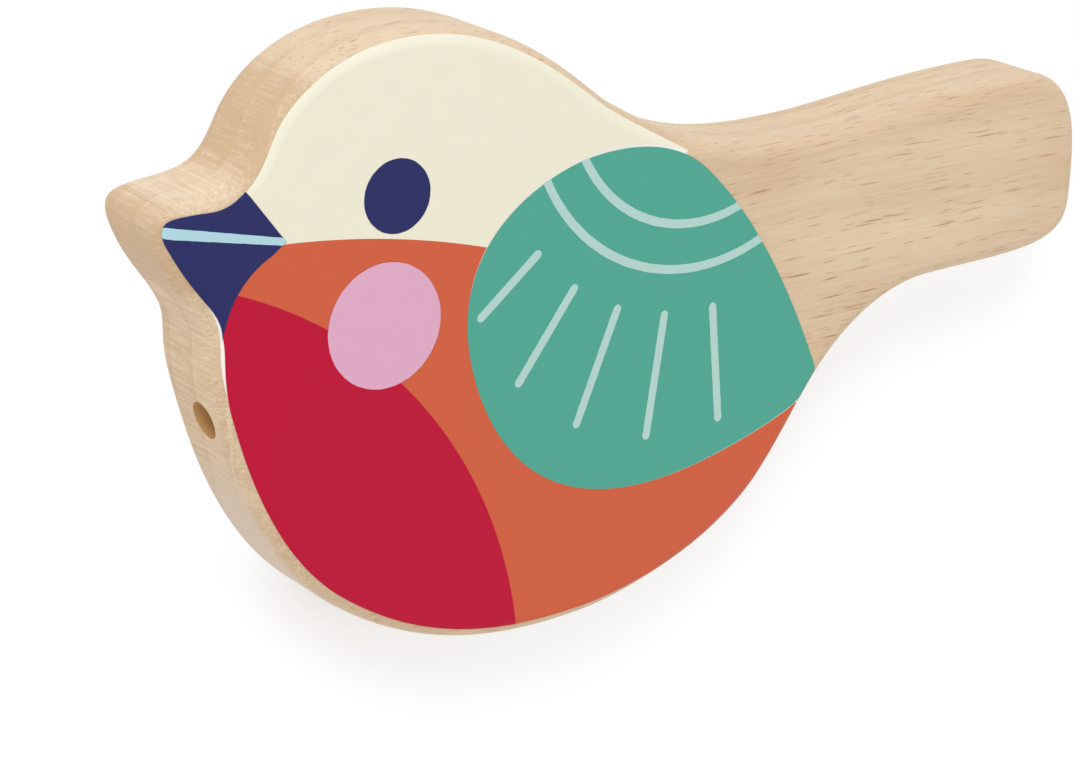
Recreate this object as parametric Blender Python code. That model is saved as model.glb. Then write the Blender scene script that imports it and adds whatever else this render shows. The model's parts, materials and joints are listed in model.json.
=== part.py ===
"""Bird whistle of solid beech, printed on one face.

A flat board, cut to the outline of a small bird, is bored along its tail. A block in the
mouth of the bore leaves a windway under it, the window behind the block is cut through
the back face, and a sound hole runs on from the bore's end out of the breast. The board
lies on its back face: +Z points out of the printed face, +X runs along the bore to the
mouthpiece and +Y points to the crown.
"""

import math
from collections import namedtuple

import bpy
from mathutils import Vector

MM = 0.001  # the lengths below are in millimetres

# Board
BOARD_THICKNESS = 12.0
EDGE_RADIUS = 2.0
EDGE_STEPS = 3  # facets over each rounded edge, up to the print's border on the front
OUTLINE_STEP = 3.0  # longest stretch between two points of a drawn curve
TAIL_END = 59.2
TAIL_HEIGHT = 21.1

# Bore, from the mouthpiece to the breast
BORE_Y = -0.3
BORE_DIAMETER = 8.0
BREAST_WALL = 9.0  # wood left between the bore's end and the breast
SOUND_HOLE_DIAMETER = 4.0
SOUND_HOLE_OFFSET = (-0.6, 1.3)  # in Y and Z, from the bore's axis
BORE_SIDES = 32
SOUND_HOLE_SIDES = 20

# Block, windway and window
BLOCK_LENGTH = 22.0
BLOCK_SETBACK = 0.8
BLOCK_CLEARANCE = 0.1
WINDWAY_HEIGHT = 1.4
WINDOW_LENGTH = 5.2
WINDOW_WIDTH = 5.2
RAMP_LENGTH = 12.0

# Print: thin layers, each on its own level above the board
INK_THICKNESS = 0.05
INK_GAP = 0.02
GROUND_INSET = 0.9  # from the outline to the edge of the white ground
COLOUR_INSET = 1.05
EYE_CENTRE = (-32.2, 18.3)
EYE_RADIUS = 3.85
CHEEK_CENTRE = (-35.1, 5.2)
CHEEK_RADIUS = 6.6
CROWN_ARC_TOP = (-61.0, 18.0)  # the arc between the pale crown and the flank
CROWN_ARC_RADIUS = 100.0
CROWN_ARC_HEADINGS = (100.0, 20.0)
BREAST_ARC_TIP = (-22.9, -34.1)  # where the arc round the breast reaches furthest back
BREAST_ARC_RADIUS = 53.2
MOUTH_CORNER = (-45.2, 16.9)
BEAK_ARC_MIDDLE = (-50.7, 13.6)  # on the arc under the beak
BEAK_ARC_RADIUS = 10.0
BEAK_ARC_HEADINGS = (172.0, 135.0, 110.0)  # of its start, its middle and its end
BROW_HEADING = 121.0  # degrees, from the mouth's corner up to the forehead
BEAK_LINE_START = (-57.5, 21.1)
LINE_WIDTH = 1.0
OVERPRINT = 0.15  # by which one colour laps over the next
WING_FAN_CENTRE = (6.0, 22.0)  # the wing's pale lines are arcs and strokes round it
WING_ARC_RADII = (16.5, 21.5)
WING_ARC_HEADINGS = (180.0, 310.0)
WING_STROKE_HEADINGS = (213.0, 227.0, 241.0, 255.0, 269.0)
WING_STROKE_START = 26.5
WING_STROKE_LENGTHS = (9.0, 11.5, 13.0, 13.5, 13.0)
ARC_STEP = 4.0  # degrees

# A drawn curve passes each knot on its heading, in degrees, with the length of its
# handles behind and ahead. A corner knot arrives on one heading and leaves on another.
Knot = namedtuple("Knot", "x y heading behind ahead leaving", defaults=(None,))

OUTLINE = (
    Knot(37.0, -10.0, -4, 7.7, 8.9),
    Knot(TAIL_END - 9.0, BORE_Y - TAIL_HEIGHT / 2, -1, 4.5, 7.0),
    Knot(TAIL_END - 0.7, BORE_Y - 5.4, 80, 2.6, 2.6),
    Knot(TAIL_END, BORE_Y + 2.8, 94, 2.6, 7.5),
    Knot(TAIL_END - 9.0, BORE_Y + TAIL_HEIGHT / 2, 175, 2.6, 10.5),
    Knot(24.7, 10.8, 177, 5.3, 13.4),  # nape
    Knot(-4.7, 20.8, 143, 12.5, 3.8),
    Knot(-29.7, 34.7, 178, 13.8, 1.5),  # crown
    Knot(-42.9, 31.1, 218, 6.6, 4.1),
    Knot(-48.3, 24.9, 221, 2.8, 2.5),  # hollow above the beak
    Knot(-55.4, 23.5, 184, 2.3, 2.7),
    Knot(-58.6, 18.7, 286, 4.3, 4.2),  # beak
    Knot(-54.6, 8.8, 268, 2.9, 3.2),
    Knot(-53.8, -2.9, 280, 9.0, 7.8),  # breast
    Knot(-43.9, -23.9, 317, 7.8, 12.0),
    Knot(-14.3, -35.1, 359, 11.2, 7.2),  # belly
    Knot(11.1, -26.6, 43, 8.8, 5.1),
    Knot(19.9, -17.1, 46, 4.8, 4.8),
)

WING = (
    Knot(19.4, -16.9, 55, 3.4, 12.2, 105),  # tip
    Knot(5.8, 11.4, 132, 8.7, 4.4),
    Knot(-8.2, 16.2, 182, 6.0, 5.6),
    Knot(-25.4, -2.3, 277, 14.7, 7.5),
    Knot(0.3, -22.1, 363, 20.1, 5.7),
)

# The printed area's edge towards the tail, from the wing's tip to the bird's back
AREA_EDGE = (
    Knot(WING[0].x - OVERPRINT, WING[0].y, WING[0].leaving, 0.0, WING[0].ahead),
    Knot(WING[1].x - OVERPRINT, WING[1].y, WING[1].heading, WING[1].behind, 1.2),
    Knot(3.6, 13.7, 144, 1.2, 3.0),
    Knot(-6.2, 21.1, 139, 3.0, 0.0),
)

MATERIALS = {  # name: colour, roughness
    "beech": ((0.73, 0.55, 0.37), 0.55),
    "white_ink": ((0.85, 0.84, 0.80), 0.5),
    "cream_ink": ((0.85, 0.80, 0.64), 0.5),
    "orange_ink": ((0.64, 0.13, 0.06), 0.5),
    "red_ink": ((0.51, 0.015, 0.05), 0.5),
    "pink_ink": ((0.72, 0.39, 0.54), 0.5),
    "navy_ink": ((0.03, 0.034, 0.13), 0.5),
    "teal_ink": ((0.09, 0.39, 0.29), 0.5),
    "mint_ink": ((0.46, 0.67, 0.61), 0.5),
    "pale_blue_ink": ((0.45, 0.68, 0.75), 0.5),
}


def on_heading(degrees):
    """Return the unit vector that points along a heading."""
    return Vector((math.cos(math.radians(degrees)), math.sin(math.radians(degrees))))


def stretch(knot, following, longest):
    """Return points and tangents from one knot up to the next, on a cubic curve."""
    leaving = knot.heading if knot.leaving is None else knot.leaving
    start = Vector((knot.x, knot.y))
    end = Vector((following.x, following.y))
    first = start + knot.ahead * on_heading(leaving)
    second = end - following.behind * on_heading(following.heading)
    count = max(3, math.ceil((end - start).length / longest))
    points = []
    tangents = []
    for step in range(count):
        t = step / count
        u = 1 - t
        points.append(u**3 * start + 3 * u * u * t * first + 3 * u * t * t * second + t**3 * end)
        slope = u * u * (first - start) + 2 * u * t * (second - first) + t * t * (end - second)
        tangents.append(slope.normalized() if slope.length else on_heading(leaving))
    return points, tangents


def drawn(knots, longest, closed=True):
    """Return the points and tangents of a curve through the knots."""
    points = []
    tangents = []
    followers = knots[1:] + knots[:1] if closed else knots[1:]
    for knot, following in zip(knots, followers):
        more_points, more_tangents = stretch(knot, following, longest)
        points += more_points
        tangents += more_tangents
    if not closed:
        points.append(Vector((knots[-1].x, knots[-1].y)))
    return points, tangents


def arc(centre, radius, start, end, step=ARC_STEP):
    """Return points along an arc between two headings, in degrees."""
    count = max(2, round(abs(end - start) / step))
    headings = [start + (end - start) * i / count for i in range(count + 1)]
    return [Vector(centre) + radius * on_heading(heading) for heading in headings]


def tightest_bend(points):
    """Return the smallest radius at which a closed, left-handed curve bends outwards."""
    smallest = math.inf
    for i, point in enumerate(points):
        before = point - points[i - 1]
        after = points[(i + 1) % len(points)] - point
        turn = math.atan2(before.cross(after), before.dot(after))
        if turn > 0:
            smallest = min(smallest, (before.length + after.length) / 2 / turn)
    return smallest


EDGE, EDGE_TANGENTS = drawn(OUTLINE, OUTLINE_STEP)
EDGE_NORMALS = [Vector((tangent.y, -tangent.x)) for tangent in EDGE_TANGENTS]
ROUNDING = min(EDGE_RADIUS, 0.9 * tightest_bend(EDGE), 0.45 * BOARD_THICKNESS)
BORE_Z = BOARD_THICKNESS / 2
BORE_RADIUS = BORE_DIAMETER / 2


def edge_angle(inset):
    """Return the angle on the rounded edge that lies an inset in from the outline."""
    return math.acos(max(0.0, 1 - inset / ROUNDING))


def front_angles():
    """Return the angles of the rings over the front edge, from its wall to the face."""
    ground = edge_angle(GROUND_INSET)
    colour = edge_angle(COLOUR_INSET)
    angles = [ground * i / EDGE_STEPS for i in range(EDGE_STEPS)]
    for angle in sorted((ground, colour, (colour + math.pi / 2) / 2, math.pi / 2)):
        if angle - angles[-1] > 1e-3:
            angles.append(angle)
    return angles


def ring(inset, z):
    """Return the board's outline drawn in by an inset, at a height."""
    return [(*(point - inset * normal), z) for point, normal in zip(EDGE, EDGE_NORMALS)]


def over_front_edge(inset, lift):
    """Return rings over the rounded front edge, lifted off it, from an inset to the face.

    At an angle a on the rounding r, a ring lies r - (r + lift) cos a in from the outline
    at the height T - r + (r + lift) sin a.
    """
    if inset > ROUNDING:
        return [ring(inset, BOARD_THICKNESS + lift)]
    radius = ROUNDING + lift
    foot = BOARD_THICKNESS - ROUNDING
    angles = [angle for angle in front_angles() if angle > edge_angle(inset) - 1e-6]
    return [ring(ROUNDING - radius * math.cos(a), foot + radius * math.sin(a)) for a in angles]


def over_back_edge():
    """Return rings over the rounded back edge, from the back face to the wall."""
    angles = [math.pi / 2 * (1 - i / EDGE_STEPS) for i in range(EDGE_STEPS + 1)]
    return [ring(ROUNDING * (1 - math.cos(a)), ROUNDING * (1 - math.sin(a))) for a in angles]


def material(name):
    """Return the named material, made on first use."""
    found = bpy.data.materials.get(name)
    if found is None:
        colour, roughness = MATERIALS[name]
        found = bpy.data.materials.new(name)
        found.use_nodes = True
        shader = found.node_tree.nodes["Principled BSDF"]
        shader.inputs["Base Color"].default_value = (*colour, 1.0)
        shader.inputs["Roughness"].default_value = roughness
        shader.inputs["Metallic"].default_value = 0.0
        found.diffuse_color = (*colour, 1.0)
    return found


def loft(name, rings, finish=None):
    """Add a closed solid through a stack of rings, listed from bottom to top.

    Without a finish it is a cutter.
    """
    count = len(rings[0])
    vertices = [[value * MM for value in vertex] for each in rings for vertex in each]
    faces = [tuple(reversed(range(count)))]
    for low in range(0, len(vertices) - count, count):
        for i in range(count):
            j = (i + 1) % count
            faces.append((low + i, low + j, low + count + j, low + count + i))
    faces.append(tuple(range(len(vertices) - count, len(vertices))))
    mesh = bpy.data.meshes.new(name)
    mesh.from_pydata(vertices, [], faces)
    solid = bpy.data.objects.new(name, mesh)
    bpy.context.collection.objects.link(solid)
    solid.parent = bpy.data.objects["whistle"]
    if finish:
        mesh.materials.append(material(finish))
        mesh.shade_smooth()
        mesh.set_sharp_from_angle(angle=math.radians(35))
    else:
        solid.hide_render = True
        solid.display_type = "WIRE"
    return solid


def plate(name, polygon, low, high, finish=None):
    """Add an upright prism over a polygon in the plane of the board."""
    return loft(name, [[(*point, z) for point in polygon] for z in (low, high)], finish)


def rod_along_bore(name, radius, start, end, sides, offset=(0.0, 0.0)):
    """Add a cutter: a cylinder along the bore, from one x to a higher one, at an offset from its axis."""
    centre = (BORE_Y + offset[0], BORE_Z + offset[1])
    circle = arc(centre, radius, 0, 360, 360 / sides)[:-1]
    return loft(name, [[(x, *point) for point in circle] for x in (start, end)])


def trim(piece, cutter, operation="INTERSECT"):
    """Keep what a piece has in common with a cutter, or cut the cutter out of it."""
    modifier = piece.modifiers.new(cutter.name, "BOOLEAN")
    modifier.operation = operation
    modifier.object = cutter


def mouthpiece_x():
    """Return where the tail ends."""
    return max(point.x for point in EDGE)


def breast_x():
    """Return where the bore's axis runs out of the breast."""
    crossings = []
    for last, point in zip(EDGE[-1:] + EDGE, EDGE):
        if min(last.y, point.y) <= BORE_Y < max(last.y, point.y):
            share = (BORE_Y - last.y) / (point.y - last.y)
            crossings.append(last.x + share * (point.x - last.x))
    return min(crossings)


def block_end_x():
    """Return where the block ends and the window starts."""
    return mouthpiece_x() - BLOCK_SETBACK - BLOCK_LENGTH


def add_window_cutter():
    """Add the cutter of the window and of the ramp that ends in its lip.

    The window opens where the block ends. Its lip stands in the middle of the stream
    from the windway, and the ramp slopes from there out to the back face.
    """
    wall = block_end_x()
    lip = wall - WINDOW_LENGTH
    lip_height = BORE_Z - BORE_RADIUS + WINDWAY_HEIGHT / 2
    half = min(WINDOW_WIDTH / 2, 0.9 * BORE_RADIUS)
    top = BORE_Z - math.sqrt(BORE_RADIUS**2 - half**2) + WINDWAY_HEIGHT / 2
    below = -1.0
    ramp_foot = lip - RAMP_LENGTH * (lip_height - below) / lip_height
    side = ((wall, below), (wall, top), (lip, top), (lip, lip_height), (ramp_foot, below))
    flanks = (BORE_Y + half, BORE_Y - half)
    return loft("window_cutter", [[(x, y, z) for x, z in side] for y in flanks])


def add_body():
    """Add the board with its bore, sound hole and window."""
    body = loft("body", over_back_edge() + over_front_edge(0.0, 0.0), "beech")
    start = breast_x()
    bore_end = start + BREAST_WALL
    bore = rod_along_bore("bore_cutter", BORE_RADIUS, bore_end, mouthpiece_x() + 5, BORE_SIDES)
    radius = SOUND_HOLE_DIAMETER / 2
    ends = (start - 5, bore_end + 1)
    sound_hole = rod_along_bore("sound_hole_cutter", radius, *ends, SOUND_HOLE_SIDES, SOUND_HOLE_OFFSET)
    for cutter in (bore, sound_hole, add_window_cutter()):
        trim(body, cutter, "DIFFERENCE")


def add_block():
    """Add the block: a dowel in the mouthpiece with one side flattened for the windway."""
    radius = BORE_RADIUS - BLOCK_CLEARANCE
    flat = math.degrees(math.acos((BORE_RADIUS - WINDWAY_HEIGHT) / radius))
    section = arc((BORE_Y, BORE_Z), radius, flat - 90, 270 - flat, 360 / BORE_SIDES)
    ends = (block_end_x(), mouthpiece_x() - BLOCK_SETBACK)
    loft("block", [[(x, *point) for point in section] for x in ends], "beech")


def level(number):
    """Return how far the under and upper side of a print level lie above the board."""
    low = INK_GAP + number * (INK_THICKNESS + INK_GAP)
    return low, low + INK_THICKNESS


def add_field(name, number, inset, finish, *cutters):
    """Add a printed field that follows the board over its rounded edge."""
    low, high = level(number)
    rings = over_front_edge(inset, low)[::-1] + over_front_edge(inset, high)
    field = loft(name, rings, finish)
    for cutter in cutters:
        trim(field, cutter)


def add_flat_field(name, number, polygon, finish):
    """Add a printed field that lies on the flat face alone."""
    low, high = level(number)
    plate(name, polygon, BOARD_THICKNESS + low, BOARD_THICKNESS + high, finish)


def add_field_cutter(name, polygon):
    """Add a cutter that stands through the whole print over a polygon."""
    return plate(name, polygon, BOARD_THICKNESS - ROUNDING - 1, BOARD_THICKNESS + 2)


def line_shape(start, end):
    """Return a printed line with round ends, as a polygon."""
    start = Vector(start)
    end = Vector(end)
    heading = math.degrees(math.atan2(end.y - start.y, end.x - start.x))
    half = LINE_WIDTH / 2
    tip = arc(end, half, heading - 90, heading + 90, 30)
    return tip + arc(start, half, heading + 90, heading + 270, 30)


def band_shape(radius):
    """Return an arc of a printed line round the wing's fan centre, as a polygon."""
    half = LINE_WIDTH / 2
    start, end = WING_ARC_HEADINGS
    outer = arc(WING_FAN_CENTRE, radius + half, start, end)
    return outer + arc(WING_FAN_CENTRE, radius - half, end, start)


def far_reach():
    """Return a distance from the drawing's middle that lies past the outline on every side."""
    return 2 * max(point.length for point in EDGE)


def beak_shape():
    """Return the beak as a polygon that reaches past the outline."""
    reach = far_reach()
    start, middle, end = BEAK_ARC_HEADINGS
    centre = Vector(BEAK_ARC_MIDDLE) - BEAK_ARC_RADIUS * on_heading(middle)
    under = arc(centre, BEAK_ARC_RADIUS, start, end) + [Vector(MOUTH_CORNER)]
    brow = Vector(MOUTH_CORNER) + reach * on_heading(BROW_HEADING)
    return [brow, Vector((-reach, brow.y)), Vector((-reach, under[0].y))] + under


def add_print():
    """Add the printed layers: a white ground, the colours on it and the pale lines."""
    reach = far_reach()
    edge = drawn(AREA_EDGE, OUTLINE_STEP, closed=False)[0]
    corners = [Vector((edge[-1].x, reach)), Vector((-reach, reach)), Vector((-reach, -reach))]
    area = add_field_cutter("area_cutter", edge + corners + [Vector((edge[0].x, -reach))])
    crown_centre = Vector(CROWN_ARC_TOP) - CROWN_ARC_RADIUS * on_heading(90)
    above = arc(crown_centre, CROWN_ARC_RADIUS, *CROWN_ARC_HEADINGS)
    above += [Vector((reach, above[-1].y)), Vector((reach, reach)), Vector((-reach, reach))]
    below = arc(crown_centre, CROWN_ARC_RADIUS - INK_GAP, *CROWN_ARC_HEADINGS)[::-1]
    below += [Vector((-reach, -reach)), Vector((reach, -reach))]
    breast_centre = Vector(BREAST_ARC_TIP) - BREAST_ARC_RADIUS * on_heading(0)
    breast = arc(breast_centre, BREAST_ARC_RADIUS, 0, 360)[:-1]
    wing = add_field_cutter("wing_cutter", drawn(WING, OUTLINE_STEP)[0])

    add_field("ground", 0, GROUND_INSET, "white_ink", area)
    add_field("crown", 1, COLOUR_INSET, "cream_ink", area, add_field_cutter("crown_cutter", above))
    add_field("flank", 1, COLOUR_INSET, "orange_ink", area, add_field_cutter("flank_cutter", below))
    add_field("breast", 2, COLOUR_INSET, "red_ink", add_field_cutter("breast_cutter", breast))
    add_field("beak", 3, COLOUR_INSET, "navy_ink", add_field_cutter("beak_cutter", beak_shape()))
    add_field("wing", 2, COLOUR_INSET, "teal_ink", wing)
    add_flat_field("eye", 2, arc(EYE_CENTRE, EYE_RADIUS, 0, 360, 10)[:-1], "navy_ink")
    add_flat_field("cheek", 3, arc(CHEEK_CENTRE, CHEEK_RADIUS, 0, 360, 7.5)[:-1], "pink_ink")
    along = (Vector(MOUTH_CORNER) - Vector(BEAK_LINE_START)).normalized()
    line_end = Vector(MOUTH_CORNER) - LINE_WIDTH / 2 * along
    beak_line = add_field_cutter("beak_line_cutter", line_shape(BEAK_LINE_START, line_end))
    add_field("beak_line", 4, COLOUR_INSET, "pale_blue_ink", beak_line)
    for i, radius in enumerate(WING_ARC_RADII, 1):
        band = add_field_cutter(f"wing_arc_{i}_cutter", band_shape(radius))
        add_field(f"wing_arc_{i}", 3, COLOUR_INSET, "mint_ink", wing, band)
    for i, (heading, length) in enumerate(zip(WING_STROKE_HEADINGS, WING_STROKE_LENGTHS), 1):
        start = Vector(WING_FAN_CENTRE) + WING_STROKE_START * on_heading(heading)
        stroke = line_shape(start, start + length * on_heading(heading))
        add_flat_field(f"wing_stroke_{i}", 3, stroke, "mint_ink")


def main():
    """Build the whistle from an empty scene, centred over its own footprint."""
    for old in list(bpy.data.objects):
        bpy.data.objects.remove(old)
    whistle = bpy.data.objects.new("whistle", None)
    bpy.context.collection.objects.link(whistle)
    xs = [point.x for point in EDGE]
    ys = [point.y for point in EDGE]
    whistle.location = (-MM * (min(xs) + max(xs)) / 2, -MM * (min(ys) + max(ys)) / 2, 0)
    add_body()
    add_block()
    add_print()


main()
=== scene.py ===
"""Bird whistle: a beech board cut to a songbird, printed on its front face.

The board, its block and every printed field are surfaces worked out on grids in the
plane of the board, in millimetres, and placed in the frame in metres. The board lies on
its back face on a pale floor, with the bore along +X and the crown towards +Y.
"""

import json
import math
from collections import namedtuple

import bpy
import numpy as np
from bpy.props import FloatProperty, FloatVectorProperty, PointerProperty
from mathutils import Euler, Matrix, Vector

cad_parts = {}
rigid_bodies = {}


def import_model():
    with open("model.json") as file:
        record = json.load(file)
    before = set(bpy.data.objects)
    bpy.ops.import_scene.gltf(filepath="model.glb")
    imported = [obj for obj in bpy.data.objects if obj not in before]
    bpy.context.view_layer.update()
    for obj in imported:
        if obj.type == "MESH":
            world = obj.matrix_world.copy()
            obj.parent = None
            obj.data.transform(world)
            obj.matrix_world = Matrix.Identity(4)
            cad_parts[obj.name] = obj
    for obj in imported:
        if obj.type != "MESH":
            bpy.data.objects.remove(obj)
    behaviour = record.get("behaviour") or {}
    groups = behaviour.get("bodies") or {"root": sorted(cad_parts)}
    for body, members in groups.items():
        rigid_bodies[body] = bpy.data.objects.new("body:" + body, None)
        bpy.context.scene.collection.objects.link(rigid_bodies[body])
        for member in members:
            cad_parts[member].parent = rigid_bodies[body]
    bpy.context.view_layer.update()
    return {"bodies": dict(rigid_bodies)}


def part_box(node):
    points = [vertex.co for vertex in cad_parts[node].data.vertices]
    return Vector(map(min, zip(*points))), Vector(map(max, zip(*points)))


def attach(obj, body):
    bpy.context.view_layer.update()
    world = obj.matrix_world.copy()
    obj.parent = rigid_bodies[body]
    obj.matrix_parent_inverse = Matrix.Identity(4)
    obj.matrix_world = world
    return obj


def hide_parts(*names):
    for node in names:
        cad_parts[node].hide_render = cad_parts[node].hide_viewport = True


bl_info = {
    "name": "Bird Whistle",
    "version": (1, 0, 0),
    "blender": (4, 5, 0),
    "location": "3D Viewport > Sidebar > Whistle",
    "description": "Builds a printed beech bird whistle on a pale studio floor",
    "category": "Object",
}

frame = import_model()
BODY = next(iter(frame["bodies"]))

MM = 0.001
LOW, HIGH = (np.array(corner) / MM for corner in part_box("body"))

# Board, in millimetres in the plane of the drawing
THICKNESS = HIGH[2] - LOW[2]
TAIL_END = 59.2
TAIL_HEIGHT = 21.1
BORE_Y = -0.3
EDGE_POINTS = 960
ROUNDING_ROWS = 10
FACE_ROWS = (0.0, 0.12, 0.3, 0.5, 0.7, 0.88)  # shares of the way from the edge to the spine
SPINE = (-38.0, 50.0)  # from where to where the line runs that the faces close on
SUPPORT = 0.06  # flat rim of each face, beside the rounding
ROUNDING_END = math.radians(80)  # how far the rounding turns before it meets the face at a crease
TIGHTER_TIP = (-58.6, 22.4, 3.0, 0.25)  # at the beak's tip: centre, reach, share of the rounding lost
CURVE_POINTS = 60  # on each stretch of a drawn curve
SHARP_ANGLE = math.radians(35)  # from which an edge is shaded as a crease

# Bore, block and window
BORE_DIAMETER = 8.0
BREAST_WALL = 9.0
SOUND_HOLE_DIAMETER = 4.05
SOUND_HOLE_OFFSET = (-0.6, 1.3)  # in Y and Z, from the bore's axis
HOLE_SIDES = 96
BLOCK_CLEARANCE = 0.1
WINDWAY_HEIGHT = 1.4
WINDOW_LENGTH = 5.2
WINDOW_WIDTH = 5.2
RAMP_LENGTH = 12.0
BLOCK_EASING = 0.25  # on the edge of the block's outer end
CUTTER_REACH = 5.0  # of a cutter out of the wood
CUTTER_OVERLAP = 1.0  # of a cutter into another, or out of the back

# Print
INK_THICKNESS = 0.02
INK_PITCH = 0.025  # from one printed level to the next
INK_LIFT = 0.008  # of the lowest level off the wood
LEAST_TURN = 0.02  # of an ink over the rounding, in radians
EYE_CENTRE = (-32.17, 18.2)
EYE_RADIUS = 3.89
CHEEK_CENTRE = (-35.16, 5.1)
CHEEK_RADIUS = 6.66
CROWN_ARC_CENTRE = (-61.4, -81.7)
CROWN_ARC_RADIUS = 99.7
CROWN_ARC_HEADINGS = (100, 20)
BREAST_ARC_CENTRE = (-76.07, -34.06)
BREAST_ARC_RADIUS = 53.2
BEAK_ARC_CENTRE = (-43.6, 6.5)
BEAK_ARC_RADIUS = 10.0
BEAK_ARC_HEADINGS = (172, 110)
MOUTH_CORNER = (-45.2, 16.92)
BROW_HEADING = 121.0
BROW_LENGTH = 30.0
BEAK_LINE_START = (-58.0, 21.26)
BEAK_LINE_WIDTHS = (1.15, 0.8)  # at its start and its end, in widths of the other lines
WING_FAN_CENTRE = (6.0, 22.0)
WING_ARC_RADII = (16.5, 21.5)
WING_ARC_HEADINGS = (180, 310)
WING_STROKE_HEADINGS = (213.0, 227.0, 241.0, 255.0, 269.0)
WING_STROKE_START = 26.5
WING_STROKE_LENGTHS = (9.0, 11.5, 13.0, 13.5, 13.0)
WAVER = 0.02  # by which a printed edge strays
WAVE_LENGTHS = (3.1, 1.7, 0.9)
WAVER_STEP = 0.25  # between the points of a straying edge
FEWEST_POINTS = 24  # on a straying edge
LINE_END_POINTS = 9
CIRCLE_POINTS = 160
ARC_POINTS = 120
LONG_ARC_POINTS = 400
PRINT_SHIFT = (-0.04, 0.27)  # of the whole print over the board
WING_SHIFT = (0.14, 0.08)  # of the colours behind the wing against it
PRINT_BUMPS = (  # where the print stays further in, or reaches further out: centre, reach and depth
    (-50.0, 24.0, 4.0, 0.35),
    (-55.0, 23.5, 3.0, 0.4),
    (-51.8, 24.2, 2.2, 0.5),
    (-40.0, 32.0, 6.0, 0.17),
    (-2.0, 19.0, 9.0, -0.2),
    (-58.6, 20.8, 2.0, -0.3),
    (5.0, -30.0, 12.0, -0.8),
)
BREAST_SLIVER = (-54.2, 7.0, 4.2, 0.45)  # white left bare at the top of the breast
LOWER_BEAK = (-53.5, 10.0, 3.0, 0.4)  # where the beak stays further in
GROUND_STEP = 0.1  # from the edge of the colours to that of the white ground
BEAK_STEP = 0.05  # from the edge of the beak to that of the colours under it
WING_STEP = 0.3  # from the rear edge of the wing to that of the ground under it
FAR = 90.0  # past the outline on every side
PRISM_HEIGHTS = (-5.0, 25.0)  # below the board and above it

# Camera, lamps and floor
CAMERA_PLACE = (-188.67, 127.49, 280.8)  # millimetres
CAMERA_TURN = (-19.90, -34.27, -5.40)  # degrees
PHOTO_WIDTH = 1080
FOCAL_LENGTH_PX = 3300.0
SENSOR_WIDTH = 36.0
FLOOR_SIZE = 3.0
FLOOR_DROP = 0.00002
FLOOR_HEADING = 5.0  # of the line under the tail behind which the floor shows white
FLOOR_FADE = (-26.0, -12.0)  # across that line, from shaded to white
FLOOR_LIT = (0.93, 0.93, 0.93, 1.0)  # for the light that bounces off it
FLOOR_SHOWN = (0.88, 0.88, 0.88, 1.0)  # for the camera
FLOOR_GLOW = (0.88, 0.93, 1.0, 1.0)  # added for the camera
FLOOR_GLOW_STRENGTH = 0.25
WHITE = (1.0, 1.0, 1.0, 1.0)
WORLD_COLOUR = (1.0, 0.985, 0.96, 1.0)
LAMP_TOWARD = (-0.3, 0.82, 0.49)
LAMP_DISTANCE = 0.9
LAMP_SIZE = 0.6
CLIP_START = 0.01

# A drawn curve passes each knot on its heading, in degrees, with the length of its
# handles behind and ahead. A corner knot arrives on one heading and leaves on another.
Knot = namedtuple("Knot", "x y heading behind ahead leaving", defaults=(None,))

OUTLINE = (
    Knot(37.0, -10.0, -4, 7.7, 8.9),
    Knot(TAIL_END - 9.0, BORE_Y - TAIL_HEIGHT / 2, -1, 4.5, 7.0),
    Knot(TAIL_END - 0.7, BORE_Y - 5.4, 80, 2.6, 2.6),
    Knot(TAIL_END, BORE_Y + 2.8, 94, 2.6, 7.5),
    Knot(TAIL_END - 9.0, BORE_Y + TAIL_HEIGHT / 2, 175, 2.6, 10.5),
    Knot(24.7, 10.8, 177, 5.3, 13.4),  # nape
    Knot(-4.7, 20.8, 143, 12.5, 3.8),
    Knot(-29.7, 34.7, 178, 13.8, 1.5),  # crown
    Knot(-42.9, 31.1, 218, 6.6, 4.1),
    Knot(-48.3, 24.9, 221, 2.8, 2.5),  # hollow above the beak
    Knot(-55.4, 23.5, 184, 2.3, 2.7),
    Knot(-58.6, 18.7, 286, 4.3, 4.2),  # beak
    Knot(-54.6, 8.8, 268, 2.9, 3.2),
    Knot(-53.8, -2.9, 280, 9.0, 7.8),  # breast
    Knot(-43.9, -23.9, 317, 7.8, 12.0),
    Knot(-14.3, -35.1, 359, 11.2, 7.2),  # belly
    Knot(11.1, -26.6, 43, 8.8, 5.1),
    Knot(19.9, -17.1, 46, 4.8, 4.8),
)

WING = (
    Knot(19.4, -16.9, 55, 3.4, 12.2, 105),  # tip
    Knot(5.8, 11.4, 132, 8.7, 4.4),
    Knot(-8.2, 16.2, 182, 6.0, 5.6),
    Knot(-25.4, -2.3, 277, 14.7, 7.5),
    Knot(0.3, -22.1, 363, 20.1, 5.7),
)

# The printed area's edge towards the tail, from the wing's tip to the bird's back
AREA_EDGE = (
    Knot(WING[0].x - WING_STEP, WING[0].y, WING[0].leaving, 0.0, WING[0].ahead),
    Knot(WING[1].x - WING_STEP, WING[1].y, WING[1].heading, WING[1].behind, 1.0),
    Knot(3.2, 13.1, 139, 1.0, 0.2, 50),
    Knot(3.75, 13.8, 50, 0.2, 3.0, 144),
    Knot(-6.2, 21.1, 139, 3.0, 0.0),
)


def screen(red, green, blue):
    """Return a colour given in 0 to 255 as it shows on a screen, as linear light."""
    shown = np.array((red, green, blue)) / 255
    return tuple(np.where(shown > 0.04045, ((shown + 0.055) / 1.055) ** 2.4, shown / 12.92))


def size(name, description, default):
    """Return a length property in metres, from millimetres."""
    default *= MM
    return FloatProperty(name=name, description=description, default=default, unit="LENGTH", min=0)


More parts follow.
